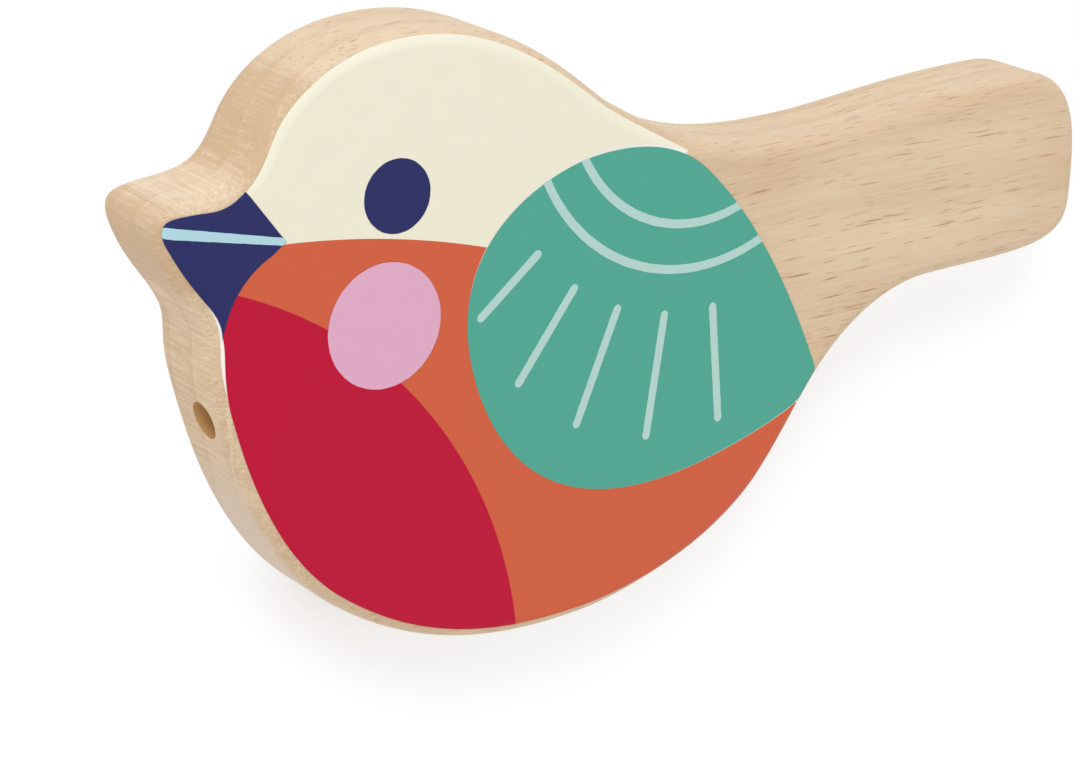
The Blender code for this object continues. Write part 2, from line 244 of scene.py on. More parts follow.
def colour(name, description, default):
    """Return a colour property."""
    return FloatVectorProperty(
        name=name,
        description=description,
        default=default,
        subtype="COLOR",
        min=0,
        max=1,
    )


class WhistleSizes(bpy.types.PropertyGroup):
    """Sizes of the board's edge and of the print"""

    edge_radius: size("Edge radius", "Rounding of the board's edges", 2.3)
    print_inset: size("Print inset", "From the outline to the edge of the print", 1.05)
    line_width: size("Line width", "Width of the pale lines", 0.98)
    wing_halo: size("Wing halo", "White ground left bare round the wing", 0.14)


class WhistleColours(bpy.types.PropertyGroup):
    """Colours of the wood, of its painted shade and reflection, and of the inks"""

    wood_light: colour("Light wood", "Pale bands of the beech", screen(229, 206, 176))
    wood_dark: colour("Dark wood", "Deeper bands of the beech", screen(204, 172, 135))
    # Painted reflection: a paler grey where the white floor shows in the wall low on the breast
    reflection_grey: colour("Grey wood", "Paler end grain low on the breast", screen(215, 194, 174))
    fleck: colour("Fleck", "Short dashes along the grain", screen(166, 119, 82))
    # Painted shade: a darker ochre for the sound hole's wall, where shade falls in the hole
    hole_shade: colour("Drilled wood", "Walls of the holes", screen(214, 170, 113))
    white: colour("White", "Ground under the colours", screen(246, 244, 236))
    cream: colour("Cream", "Crown", screen(240, 234, 212))
    orange: colour("Orange", "Flank", screen(211, 97, 65))
    red: colour("Red", "Breast", screen(191, 10, 54))
    pink: colour("Pink", "Cheek", screen(225, 171, 197))
    navy: colour("Navy", "Beak and eye", screen(40, 44, 98))
    teal: colour("Teal", "Wing", screen(81, 168, 148))
    mint: colour("Mint", "Lines on the wing", screen(180, 213, 205))
    pale_blue: colour("Pale blue", "Line through the beak", screen(178, 215, 225))


class WhistleLight(bpy.types.PropertyGroup):
    """Levels of the studio light"""

    around: FloatProperty(name="Around", description="Even light from all sides", default=0.845, min=0)
    key: FloatProperty(
        name="Key", description="Power of the soft key lamp", default=3.25, min=0, unit="POWER"
    )
    tint: colour("Key tint", "Colour of the key lamp", (0.79, 0.89, 1.0))


def on_heading(degrees):
    """Return unit vectors that point along headings, as rows."""
    turn = np.radians(degrees)
    return np.stack((np.cos(turn), np.sin(turn)), axis=-1)


def stretch(knot, following):
    """Return points from one knot up to the next on a cubic curve.

    u^3 A + 3 u^2 t B + 3 u t^2 C + t^3 D for t from 0 up to 1, with u = 1 - t.
    """
    leaving = knot.heading if knot.leaving is None else knot.leaving
    start = np.array((knot.x, knot.y))
    end = np.array((following.x, following.y))
    first = start + knot.ahead * on_heading(leaving)
    second = end - following.behind * on_heading(following.heading)
    t = np.arange(CURVE_POINTS)[:, None] / CURVE_POINTS
    u = 1 - t
    return u**3 * start + 3 * u * u * t * first + 3 * u * t * t * second + t**3 * end


def drawn(knots, closed=True):
    """Return the points of a curve through the knots."""
    followers = knots[1:] + knots[:1] if closed else knots[1:]
    pieces = [stretch(knot, following) for knot, following in zip(knots, followers)]
    if not closed:
        pieces.append(np.array([(knots[-1].x, knots[-1].y)]))
    return np.concatenate(pieces)


def evenly(points, count):
    """Return a closed curve as points an equal length apart along it."""
    closed = np.vstack((points, points[:1]))
    travelled = np.concatenate(([0.0], np.cumsum(np.linalg.norm(np.diff(closed, axis=0), axis=1))))
    stops = np.arange(count) * travelled[-1] / count
    return np.stack([np.interp(stops, travelled, closed[:, i]) for i in (0, 1)], axis=1)


def outward(points):
    """Return the outward normals of a closed curve that runs left-handed."""
    along = np.roll(points, -1, axis=0) - np.roll(points, 1, axis=0)
    along /= np.linalg.norm(along, axis=1, keepdims=True)
    return np.stack((along[:, 1], -along[:, 0]), axis=1)


EDGE = evenly(drawn(OUTLINE), EDGE_POINTS)
EDGE_NORMALS = outward(EDGE)
DRAWING_CENTRE = (EDGE.min(axis=0) + EDGE.max(axis=0)) / 2


def bell(x, y, reach, depth):
    """Return for each point of the outline a depth beside a place, falling off round it as a bell."""
    return depth * np.exp(-((EDGE - (x, y)) ** 2).sum(axis=1) / reach**2)


def edge_radii(radius):
    """Return the rounding at each point of the outline, a little tighter at the beak's tip."""
    return radius * (1 - bell(*TIGHTER_TIP))


def arc(centre, radius, start, end, count):
    """Return points along an arc between two headings."""
    return np.array(centre) + radius * on_heading(np.linspace(start, end, count))


def circle(centre, radius, count=CIRCLE_POINTS):
    """Return the points of a circle."""
    return arc(centre, radius, 0, 360, count + 1)[:-1]


def wavered(points):
    """Return a closed printed edge that strays to and fro by some hundredths of a millimetre."""
    length = np.linalg.norm(np.roll(points, -1, axis=0) - points, axis=1).sum()
    points = evenly(points, max(FEWEST_POINTS, int(length / WAVER_STEP)))
    turn = np.linspace(0, 2 * math.pi, len(points), endpoint=False)
    waves = np.round(length / np.array(WAVE_LENGTHS))
    stray = sum(np.sin(turn * count + phase) / len(waves) for phase, count in enumerate(waves))
    return points + WAVER * stray[:, None] * outward(points)


def line(start, end, width, end_width):
    """Return a printed line with softly rounded ends, of one width at its start and one at its end."""
    start = np.array(start)
    end = np.array(end)
    heading = math.degrees(math.atan2(*(end - start)[::-1]))
    tip = arc(end, end_width / 2, heading - 90, heading + 90, LINE_END_POINTS)
    return np.vstack((tip, arc(start, width / 2, heading + 90, heading + 270, LINE_END_POINTS)))


def over_board(outlines, heights):
    """Return rings of points in space from rings in the plane and their heights."""
    return np.dstack((outlines, np.broadcast_to(heights, outlines.shape[:2])))


def loft(name, rings):
    """Add a closed solid through rings of points, listed from bottom to top.

    Each ring is a row of the grid. Neighbouring rows are joined by quads, the last point
    of a row to its first, and the two end rows are closed by one face each.
    """
    rows, count = rings.shape[:2]
    centre = np.append(DRAWING_CENTRE, 0)
    points = (rings.reshape(-1, 3) - centre) * MM
    index = np.arange(rows * count).reshape(rows, count)
    low = index[:-1]
    high = index[1:]
    quads = np.stack((low, np.roll(low, -1, axis=1), np.roll(high, -1, axis=1), high), axis=-1)
    faces = [index[0, ::-1].tolist(), *quads.reshape(-1, 4).tolist(), index[-1].tolist()]
    mesh = bpy.data.meshes.new(name)
    mesh.from_pydata(points.tolist(), [], faces)
    piece = bpy.data.objects.new(name, mesh)
    bpy.context.collection.objects.link(piece)
    return piece


def prism(polygon):
    """Add an upright cutter over a polygon."""
    following = np.roll(polygon, -1, axis=0)
    area = (polygon[:, 0] * following[:, 1] - polygon[:, 1] * following[:, 0]).sum()
    if area < 0:
        polygon = polygon[::-1]
    return loft("cutter", over_board(np.array((polygon, polygon)), np.array(PRISM_HEIGHTS)[:, None]))


def rod(section, places):
    """Add a solid along the bore: sections in the Y-Z plane, each a scale of one, at places along X."""
    axis = np.array((BORE_Y, THICKNESS / 2))
    rows = [np.column_stack((np.full(len(section), x), axis + scale * section)) for x, scale in places]
    return loft("rod", np.array(rows))


def cut(piece, cutters, operation):
    """Cut a piece by cutters, or keep what it has in common with them, and delete them."""
    for cutter in cutters:
        modifier = piece.modifiers.new("cut", "BOOLEAN")
        modifier.operation = operation
        modifier.object = cutter
    evaluated = piece.evaluated_get(bpy.context.evaluated_depsgraph_get())
    mesh = bpy.data.meshes.new_from_object(evaluated)
    piece.modifiers.clear()
    piece.data = mesh
    mesh.name = piece.name
    for cutter in cutters:
        bpy.data.objects.remove(cutter)
    if not mesh.polygons:
        raise RuntimeError(f"{piece.name} has nothing left after its cuts")


def finished(piece, material, slot, *nodes):
    """Shade a piece, give it its material and let it stand for CAD nodes."""
    piece.data.materials.clear()
    piece.data.materials.append(material)
    piece.data.shade_smooth()
    piece.data.set_sharp_from_angle(angle=SHARP_ANGLE)
    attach(piece, BODY)
    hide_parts(*nodes)


def mouthpiece_x():
    """Return where the tail ends."""
    return EDGE[:, 0].max()


def breast_x():
    """Return where the bore's axis runs out of the breast."""
    left = EDGE[EDGE[:, 0] < 0]
    return left[np.argmin(np.abs(left[:, 1] - BORE_Y)), 0]


def block_ends():
    """Return where the block starts and ends along X, as its CAD node does."""
    low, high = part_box("block")
    return low[0] / MM + DRAWING_CENTRE[0], high[0] / MM + DRAWING_CENTRE[0]


def flat_rim(radii):
    """Return the ring just inside the crease between the rounding and a face."""
    reach = radii * (1 - math.cos(ROUNDING_END)) + SUPPORT
    return EDGE - reach[:, None] * EDGE_NORMALS


def over_rounding(radii, angles, lift):
    """Return rings over the rounded edge at some angles, lifted off it."""
    reach = radii - (radii + lift) * np.cos(angles)
    heights = THICKNESS - radii * math.sin(ROUNDING_END) + (radii + lift) * np.sin(angles)
    return over_board(EDGE - reach[..., None] * EDGE_NORMALS, heights)


def board_rings(radius):
    """Return the rings of the board, from the middle of its back to the middle of its front.

    On the faces a ring lies a share t of the way from the edge of the flat to the nearest
    point of the spine. Over an edge a ring at the angle a lies r - r cos a in from the outline,
    at the height T - r sin A + r sin a, up to the crease at the angle A.
    """
    radii = edge_radii(radius)
    spine = np.column_stack((np.clip(EDGE[:, 0], *SPINE), np.zeros(len(EDGE))))
    rim = flat_rim(radii)
    share = np.array(FACE_ROWS)[:, None, None]
    face = over_board((1 - share) * rim + share * spine, THICKNESS)
    angles = np.linspace(0, ROUNDING_END, ROUNDING_ROWS + 1)[:, None]
    front = np.concatenate((over_rounding(radii, angles, 0.0), face))
    back = front[::-1] * (1, 1, -1) + (0, 0, THICKNESS)
    return np.concatenate((back, front))


def window_cutter():
    """Add the cutter of the window and of the ramp that ends in its lip."""
    wall = block_ends()[0]
    lip = wall - WINDOW_LENGTH
    radius = BORE_DIAMETER / 2
    lip_height = THICKNESS / 2 - radius + WINDWAY_HEIGHT / 2
    half = WINDOW_WIDTH / 2
    top = THICKNESS / 2 - math.sqrt(radius**2 - half**2) + WINDWAY_HEIGHT / 2
    below = -CUTTER_OVERLAP
    foot = lip - RAMP_LENGTH * (lip_height - below) / lip_height
    side = np.array(((wall, below), (wall, top), (lip, top), (lip, lip_height), (foot, below)))
    flanks = (BORE_Y + half, BORE_Y - half)
    rows = [np.column_stack((side[:, 0], np.full(len(side), y), side[:, 1])) for y in flanks]
    return loft("window", np.array(rows))


class Amount:
    """A number or vector that varies over a surface: a socket that can be reckoned with."""

    def __init__(self, finish, socket):
        self.finish = finish
        self.socket = socket

    def reckon(self, operation, *values):
        """Return the result of a Math node."""
        return self.finish.node("ShaderNodeMath", {"operation": operation}, dict(enumerate(values)))

    def __add__(self, other):
        return self.reckon("ADD", self, other)

    def __radd__(self, other):
        return self.reckon("ADD", other, self)

    def __sub__(self, other):
        return self.reckon("SUBTRACT", self, other)

    def __rsub__(self, other):
        return self.reckon("SUBTRACT", other, self)

    def __mul__(self, other):
        return self.reckon("MULTIPLY", self, other)

    def __rmul__(self, other):
        return self.reckon("MULTIPLY", other, self)

    def __truediv__(self, other):
        return self.reckon("DIVIDE", self, other)

    def __pow__(self, other):
        return self.reckon("POWER", self, other)


class Finish:
    """The nodes of a material, or of the world, under construction."""

    def __init__(self, owner):
        owner.use_nodes = True
        self.owner = owner
        self.tree = owner.node_tree

    def node(self, kind, settings=None, inputs=None, output=0):
        """Add a node: its settings first, then the value or the link of each socket."""
        made = self.tree.nodes.new(kind)
        for name, value in (settings or {}).items():
            setattr(made, name, value)
        self.feed(made, inputs or {})
        return Amount(self, made.outputs[output])

    def feed(self, node, inputs):
        """Set or link the sockets of a node."""
        for key, value in inputs.items():
            if isinstance(value, Amount):
                self.tree.links.new(value.socket, node.inputs[key])
            else:
                node.inputs[key].default_value = value

    def fill(self, name, inputs):
        """Set or link the sockets of a node that is there from the start, and return its output."""
        ready = self.tree.nodes[name]
        self.feed(ready, inputs)
        return Amount(self, ready.outputs[0]) if ready.outputs else None

    def place(self, heading=0.0):
        """Return the three object coordinates in millimetres, turned so that X runs on a heading."""
        spot = self.node("ShaderNodeTexCoord", output="Object")
        turned = self.node(
            "ShaderNodeMapping",
            inputs={"Vector": spot, "Rotation": (0, 0, -math.radians(heading)), "Scale": (1 / MM,) * 3},
        )
        return self.parts(turned)

    def parts(self, vector):
        """Return the three parts of a vector."""
        separated = self.node("ShaderNodeSeparateXYZ", inputs={0: vector}).socket.node
        return [Amount(self, separated.outputs[i]) for i in range(3)]

    def spot(self, place, sizes):
        """Return a place measured in cells of the given sizes."""
        return self.node("ShaderNodeCombineXYZ", inputs={i: place[i] / sizes[i] for i in range(3)})

    def noise(self, place, sizes, detail=2.0, roughness=0.5):
        """Return soft noise about 0.5, with features of the given sizes in millimetres."""
        inputs = {"Vector": self.spot(place, sizes), "Scale": 1.0}
        inputs |= {"Detail": detail, "Roughness": roughness}
        return self.node("ShaderNodeTexNoise", inputs=inputs)

    def step(self, value, start, end):
        """Return a smooth step from 0 at start to 1 at end."""
        inputs = {"Value": value, "From Min": start, "From Max": end}
        return self.node("ShaderNodeMapRange", {"interpolation_type": "SMOOTHSTEP"}, inputs)

    def mixed(self, share, first, second):
        """Return the blend of two colours."""
        settings = {"data_type": "RGBA", "clamp_factor": True}
        return self.node("ShaderNodeMix", settings, {0: share, 6: first, 7: second}, output=2)

    def bump(self, height, depth):
        """Return the normal of a surface whose relief is so many millimetres deep."""
        inputs = {"Height": height, "Strength": 1.0, "Distance": depth * MM}
        return self.node("ShaderNodeBump", inputs=inputs)


GRAIN_HEADING = -5.0
PITH = (10.0, -79.7)  # across the grain and up, where the growth rings have their centre
RING_WIDTH = 4.4

# Sizes of the features of the wood and of the inks, along the grain, across it and through
# the board. A dash has the size of its cell, its half axes, and a shift of its cells.
SWAY_SIZES = (38.0, 26.0, 26.0)
SWAY = 2.4  # of the grain to either side
BAND_SIZES = (70.0, 2.6, 3.2)
FIBRE_SIZES = (9.0, 0.24, 0.24)
CLOUD_SIZES = (16.0, 9.0, 9.0)
RING_SIZES = (80.0, 20.0, 20.0)
SANDED_SIZES = (0.3, 0.3, 8.0)
ZONE_SIZES = (24.0, 5.0, 5.0)
INK_FIBRE_SIZES = (4.0, 0.3, 0.3)
MOTTLE_SIZES = (3.0, 3.0, 3.0)
SHORT_DASH = {"sizes": (2.8, 0.5, 0.24), "reach": (1.2, 0.11, 0.11), "shift": 0.0}
LONG_DASH = {"sizes": (5.4, 1.0, 0.4), "reach": (2.5, 0.14, 0.18), "shift": 31.0}

# Where features of the wood begin and where they are full
HEAD = (-38.0, -48.0)  # along the grain
PALE_RING = (-34.0, -48.0)  # along the grain
LOWER = (10.0, -10.0)  # across the grain
# Where the painted reflection of the white floor lies, low on the breast's wall
REFLECTION_HEIGHT = (-2.0, -14.0)
REFLECTION_SIDE = (5.0, -15.0)
REFLECTION_LEVEL = (11.4, 9.0)
HOLE_SOFTNESS = (0.12, 0.02)  # painted shade of the hole, past the sound hole's wall
HOLE_SIDE = (-38.0, -42.0)
WOOD_RELIEF = 0.015
INK_RELIEF = 0.006
INK_SHADES = (1.06, 0.86)  # of its colour, from lighter to deeper
PAINTED_LIGHT_AND_SHADE = (  # patches where the wood's tone is painted lighter or darker, most of them painted light and shade that even out the key lamp: centre and half axes in the drawing, and tone
    # painted light: the tail's face lighter, evening out the key lamp's shading
    (36.0, 1.0, 28.0, 10.0, -0.22),
    # painted shade: the tail's top edge darker, where the key lamp lights it
    (42.0, 12.0, 34.0, 4.5, 0.12),
    # painted shade: the head's left wall darker, where the key lamp lights it
    (-46.0, 29.5, 7.0, 8.0, 0.55),
    # painted light: the hollow above the beak lighter, where it faces the light
    (-53.5, 24.5, 5.0, 3.0, -0.2),
    # darker at the beak's tip
    (-58.5, 18.0, 4.5, 7.0, 0.6),
)


def opaque(value):
    """Return a colour with full opacity."""
    return (*value, 1.0)


def flecks(finish, place, sizes, reach, shift):
    """Return a mask of dashes of random strength, one in each cell of the given sizes.

    A dash is an ellipsoid round the cell's own point, with half axes of the given reach.
    """
    moved = [place[0] + shift, place[1], place[2]]
    inputs = {"Vector": finish.spot(moved, sizes), "Scale": 1.0}
    cells = finish.node("ShaderNodeTexVoronoi", {"feature": "F1"}, inputs).socket.node
    point = finish.parts(Amount(finish, cells.outputs["Position"]))
    offsets = [(moved[i] - point[i] * sizes[i]) / reach[i] for i in range(3)]
    distance = (offsets[0] ** 2 + offsets[1] ** 2 + offsets[2] ** 2) ** 0.5
    chance = finish.parts(Amount(finish, cells.outputs["Color"]))[0]
    return finish.step(distance, 1.0, 0.3) * finish.step(chance, 0.1, 1.0)


def beech(colours):
    """Return sanded beech: fibres and flecks along the grain, rings round the pith, with painted light
    and shade in patches, a painted reflection low on the breast and painted shade in the sound hole.
    """
    finish = Finish(bpy.data.materials.new("beech"))
    along, across, through = finish.place(GRAIN_HEADING)
    sway = finish.noise((along, across, through), SWAY_SIZES, 1.0)
    across = across + (sway - 0.5) * SWAY
    place = (along, across, through)

    bands = finish.noise(place, BAND_SIZES, 3.0, 0.6)
    fibres = finish.noise(place, FIBRE_SIZES, 3.0, 0.65)
    clouds = finish.noise(place, CLOUD_SIZES)
    radius = ((across - PITH[0]) ** 2 + (through - PITH[1]) ** 2) ** 0.5
    years = radius / RING_WIDTH + (finish.noise(place, RING_SIZES, 1.0) - 0.5) * 0.3
    year = finish.node("ShaderNodeMath", {"operation": "FRACT"}, {0: years})
    late = finish.step(year, 0.5, 0.9) * finish.step(year, 0.97, 0.9)
    pale_ring = finish.step(year, 0.9, 0.96) * finish.step(year, 1.0, 0.96)
    pale_ring = pale_ring * finish.step(along, *PALE_RING)
    lower = finish.step(across, *LOWER)

    tone = bands * 0.7 + fibres * 0.9 + clouds * 0.4 + late * 0.2
    tone = tone - pale_ring * 0.2 + lower * 0.22 - 0.6
    side, height, level = finish.place()
    # Painted light and shade: the wood's tone shifts in the listed patches
    for x, y, half_length, half_width, depth in PAINTED_LIGHT_AND_SHADE:
        aside = (side + DRAWING_CENTRE[0] - x) / half_length
        above = (height + DRAWING_CENTRE[1] - y) / half_width
        tone = tone + finish.step(aside**2 + above**2, 1.0, 0.25) * depth
    head = finish.step(along, *HEAD)
    sanded = finish.noise(place, SANDED_SIZES) - 0.5
    tone = tone + head * sanded * 1.6
    wood = finish.mixed(tone, opaque(colours.wood_light), opaque(colours.wood_dark))
    zones = finish.step(finish.noise(place, ZONE_SIZES), 0.3, 0.7) * 0.5 + lower * 0.5
    short = flecks(finish, place, **SHORT_DASH)
    long = flecks(finish, place, **LONG_DASH)
    dashes = short * (0.42 + 0.26 * zones) + long * (0.62 + 0.25 * zones)
    dashes = dashes * (1 - 0.6 * head)
    # Painted reflection of the white floor on the lower wall of the breast, in a paler grey
    floor_reflection = finish.step(height, *REFLECTION_HEIGHT) * finish.step(side, *REFLECTION_SIDE)
    floor_reflection = floor_reflection * finish.step(level, *REFLECTION_LEVEL)
    wood = finish.mixed(floor_reflection * 0.9, wood, opaque(colours.reflection_grey))
    wood = finish.mixed(dashes, wood, opaque(colours.fleck))

    # Painted shade in the sound hole: its wall takes the darker ochre
    hole_y = BORE_Y + SOUND_HOLE_OFFSET[0] - DRAWING_CENTRE[1]
    hole_z = THICKNESS / 2 + SOUND_HOLE_OFFSET[1]
    from_axis = ((height - hole_y) ** 2 + (level - hole_z) ** 2) ** 0.5
    starts, full = (SOUND_HOLE_DIAMETER / 2 + softness for softness in HOLE_SOFTNESS)
    hole_shade = finish.step(from_axis, starts, full) * finish.step(side, *HOLE_SIDE)
    wood = finish.mixed(hole_shade, wood, opaque(colours.hole_shade))

    grain_relief = fibres * 0.5 + (1 - short) * 0.25 + (1 - long) * 0.25
    roughness = 0.46 + fibres * 0.12 + dashes * 0.1
    shader = {"Base Color": wood, "Roughness": roughness, "Specular IOR Level": 0.45}
    finish.fill("Principled BSDF", shader | {"Normal": finish.bump(grain_relief, WOOD_RELIEF)})
    return finish.owner


def ink(name, hue):
    """Return satin ink that lets a little of the wood's grain through as relief."""
    finish = Finish(bpy.data.materials.new(name))
    place = finish.place(GRAIN_HEADING)
    fibres = finish.noise(place, INK_FIBRE_SIZES)
    mottle = finish.noise(place, MOTTLE_SIZES, 3.0)
    shade = (fibres - 0.5) * 0.1 + (mottle - 0.5) * 0.12
    lighter, deeper = (opaque(min(1.0, part * value) for value in hue) for part in INK_SHADES)
    tint = finish.mixed(0.43 + shade, lighter, deeper)
    roughness = 0.42 + mottle * 0.12
    shader = {"Base Color": tint, "Roughness": roughness, "Specular IOR Level": 0.15}
    finish.fill("Principled BSDF", shader | {"Normal": finish.bump(fibres, INK_RELIEF)})
    return finish.owner


class WHISTLE_OT_board(bpy.types.Operator):
    """Build the beech board with its bore, sound hole and window"""

    bl_idname = "whistle.board"
    bl_label = "Board"
    bl_options = {"REGISTER", "UNDO"}

    def execute(self, context):
        scene = context.scene
        board = loft("board", board_rings(scene.whistle_sizes.edge_radius / MM))
        start = breast_x()
        end = mouthpiece_x()
        section = circle((0, 0), BORE_DIAMETER / 2, HOLE_SIDES)
        bore = rod(section, ((start + BREAST_WALL, 1), (end + CUTTER_REACH, 1)))
        section = circle(SOUND_HOLE_OFFSET, SOUND_HOLE_DIAMETER / 2, HOLE_SIDES)
        inside = start + BREAST_WALL + CUTTER_OVERLAP
        sound_hole = rod(section, ((start - CUTTER_REACH, 1), (inside, 1)))
        cut(board, (bore, sound_hole, window_cutter()), "DIFFERENCE")
        finished(board, beech(scene.whistle_colours), "beech", "body")
        return {"FINISHED"}


class WHISTLE_OT_block(bpy.types.Operator):
    """Build the flattened dowel in the mouthpiece"""

    bl_idname = "whistle.block"
    bl_label = "Block"
    bl_options = {"REGISTER", "UNDO"}

    def execute(self, context):
        radius = BORE_DIAMETER / 2 - BLOCK_CLEARANCE
        flat = math.degrees(math.acos((BORE_DIAMETER / 2 - WINDWAY_HEIGHT) / radius))
        section = arc((0, 0), radius, flat - 90, 270 - flat, HOLE_SIDES)
        start, end = block_ends()
        eased = 1 - BLOCK_EASING / radius
        corner = (end - BLOCK_EASING / 3, (1 + 2 * eased) / 3)
        block = rod(section, ((start, 1), (end - BLOCK_EASING, 1), corner, (end, eased)))
        block.name = "block_dowel"
        finished(block, bpy.data.objects["board"].active_material, "beech", "block")
        return {"FINISHED"}


def print_insets(base, *bumps):
    """Return the inset of the print's edge at each point of the outline.

    The print sits a little towards the tail and the crown. Above the beak it stays further
    in, and behind the belly it reaches further out. A field can have bumps of its own.
    """
    insets = base - EDGE_NORMALS @ np.array(PRINT_SHIFT)
    return insets + sum(bell(*bump) for bump in (*PRINT_BUMPS, *bumps))


def ink_rings(insets, level, radius):
    """Return the rings of a skin over the board's front, from its underside to its top.

    At the angle a on the rounding r a ring at the height h over the board lies
    r - (r + h) cos a in from the outline, at T - r sin A + (r + h) sin a.
    """
    low = INK_LIFT + level * INK_PITCH
    radii = edge_radii(radius)
    first = np.minimum(np.arccos(1 - insets / radii), ROUNDING_END - LEAST_TURN)
    share = np.linspace(0, 1, ROUNDING_ROWS)[:, None]
    angles = first + (ROUNDING_END - first) * share
    rim = flat_rim(radii)[None]
    skins = []
    for lift in (low, low + INK_THICKNESS):
        edge = over_rounding(radii, angles, lift)
        skins.append(np.concatenate((edge, over_board(rim, THICKNESS + lift))))
    return np.concatenate((skins[0][::-1], skins[1]))


def beak_shape():
    """Return the beak as a polygon that reaches past the outline, ending in the mouth's corner."""
    under = arc(BEAK_ARC_CENTRE, BEAK_ARC_RADIUS, *BEAK_ARC_HEADINGS, CURVE_POINTS)
    brow = MOUTH_CORNER + BROW_LENGTH * on_heading(BROW_HEADING)
    return np.vstack((brow, (-FAR, brow[1]), (-FAR, under[0, 1]), under, MOUTH_CORNER))


def printed(name, insets, level, material, slot, node, keep, leave=()):
    """Add a printed field: a skin kept inside some shapes and left out of others."""
    radius = bpy.context.scene.whistle_sizes.edge_radius / MM
    field = loft(name, ink_rings(insets, level, radius))
    cut(field, [prism(shape) for shape in keep], "INTERSECT")
    if leave:
        cut(field, [prism(shape) for shape in leave], "DIFFERENCE")
    finished(field, material, slot, node)


class WHISTLE_OT_print(bpy.types.Operator):
    """Print the white ground and the fields of colour"""

    bl_idname = "whistle.print"
    bl_label = "Print"
    bl_options = {"REGISTER", "UNDO"}

    def execute(self, context):
        sizes = context.scene.whistle_sizes
        colours = context.scene.whistle_colours
        base = sizes.print_inset / MM
        edge = drawn(AREA_EDGE, closed=False)
        area = np.vstack((edge, (edge[-1, 0], FAR), (-FAR, FAR), (-FAR, -FAR), (edge[0, 0], -FAR)))
        border = arc(CROWN_ARC_CENTRE, CROWN_ARC_RADIUS, *CROWN_ARC_HEADINGS, LONG_ARC_POINTS)
        above = np.vstack((border, (FAR, FAR), (-FAR, FAR)))
        below = np.vstack((border, (FAR, -FAR), (-FAR, -FAR)))
        breast = wavered(circle(BREAST_ARC_CENTRE, BREAST_ARC_RADIUS, LONG_ARC_POINTS))
        beak = beak_shape()
        wing = drawn(WING)
        grown = wing + sizes.wing_halo / MM * outward(wing) + WING_SHIFT
        beak_edge = print_insets(base, LOWER_BEAK)
        colour_edge = np.maximum(print_insets(base, BREAST_SLIVER), beak_edge + BEAK_STEP)
        under_edge = print_insets(base + GROUND_STEP)

        white = ink("white_ink", colours.white)
        printed("white_ground", under_edge, 0, white, "white_ink", "ground", (area,))
        cream = ink("cream_ink", colours.cream)
        printed("cream_crown", colour_edge, 1, cream, "cream_ink", "crown", (area, above), (grown,))
        orange = ink("orange_ink", colours.orange)
        printed("orange_flank", colour_edge, 1, orange, "orange_ink", "flank", (area, below), (grown,))
        red = ink("red_ink", colours.red)
        printed("red_breast", colour_edge, 2, red, "red_ink", "breast", (breast,))
        navy = ink("navy_ink", colours.navy)
        printed("navy_beak", beak_edge, 3, navy, "navy_ink", "beak", (beak,))
        teal = ink("teal_ink", colours.teal)
        printed("teal_wing", print_insets(base), 2, teal, "teal_ink", "wing", (wing,))
        eye = wavered(circle(EYE_CENTRE, EYE_RADIUS))
        printed("navy_eye", colour_edge, 2, navy, "navy_ink", "eye", (eye,))
        cheek = wavered(circle(CHEEK_CENTRE, CHEEK_RADIUS))
        pink = ink("pink_ink", colours.pink)
        printed("pink_cheek", colour_edge, 3, pink, "pink_ink", "cheek", (cheek,))
        return {"FINISHED"}


class WHISTLE_OT_lines(bpy.types.Operator):
    """Print the pale lines on the wing and through the beak"""

    bl_idname = "whistle.lines"
    bl_label = "Lines"
    bl_options = {"REGISTER", "UNDO"}

    def execute(self, context):
        sizes = context.scene.whistle_sizes
        colours = context.scene.whistle_colours
        insets = print_insets(sizes.print_inset / MM)
        width = sizes.line_width / MM
        mouth = np.array(MOUTH_CORNER)
        mouth += width / 2 * on_heading(math.degrees(math.atan2(*(BEAK_LINE_START - mouth)[::-1])))
        pale_blue = ink("pale_blue_ink", colours.pale_blue)
        start_width, end_width = (width * share for share in BEAK_LINE_WIDTHS)
        beak_line = wavered(line(BEAK_LINE_START, mouth, start_width, end_width))
        printed("pale_beak_line", insets, 4, pale_blue, "pale_blue_ink", "beak_line", (beak_line,))
        mint = ink("mint_ink", colours.mint)
        wing = drawn(WING)
        centre = np.array(WING_FAN_CENTRE)
        for i, radius in enumerate(WING_ARC_RADII, 1):
            outer = arc(centre, radius + width / 2, *WING_ARC_HEADINGS, ARC_POINTS)
            inner = arc(centre, radius - width / 2, *WING_ARC_HEADINGS[::-1], ARC_POINTS)
            band = wavered(np.vstack((outer, inner)))
            printed(f"mint_arc_{i}", insets, 3, mint, "mint_ink", f"wing_arc_{i}", (wing, band))
        for i, (heading, length) in enumerate(zip(WING_STROKE_HEADINGS, WING_STROKE_LENGTHS), 1):
            start = centre + WING_STROKE_START * on_heading(heading)
            stroke = wavered(line(start, start + length * on_heading(heading), width, width))
            printed(f"mint_stroke_{i}", insets, 3, mint, "mint_ink", f"wing_stroke_{i}", (stroke,))
        return {"FINISHED"}


def shown_rays(finish):
    """Return 1 for what the camera, a reflection or glass shows, and 0 for light."""
    path = finish.node("ShaderNodeLightPath").socket.node
    names = ("Is Camera Ray", "Is Glossy Ray", "Is Transmission Ray")
    camera, glossy, transmission = (Amount(finish, path.outputs[name]) for name in names)
    return camera + glossy + transmission


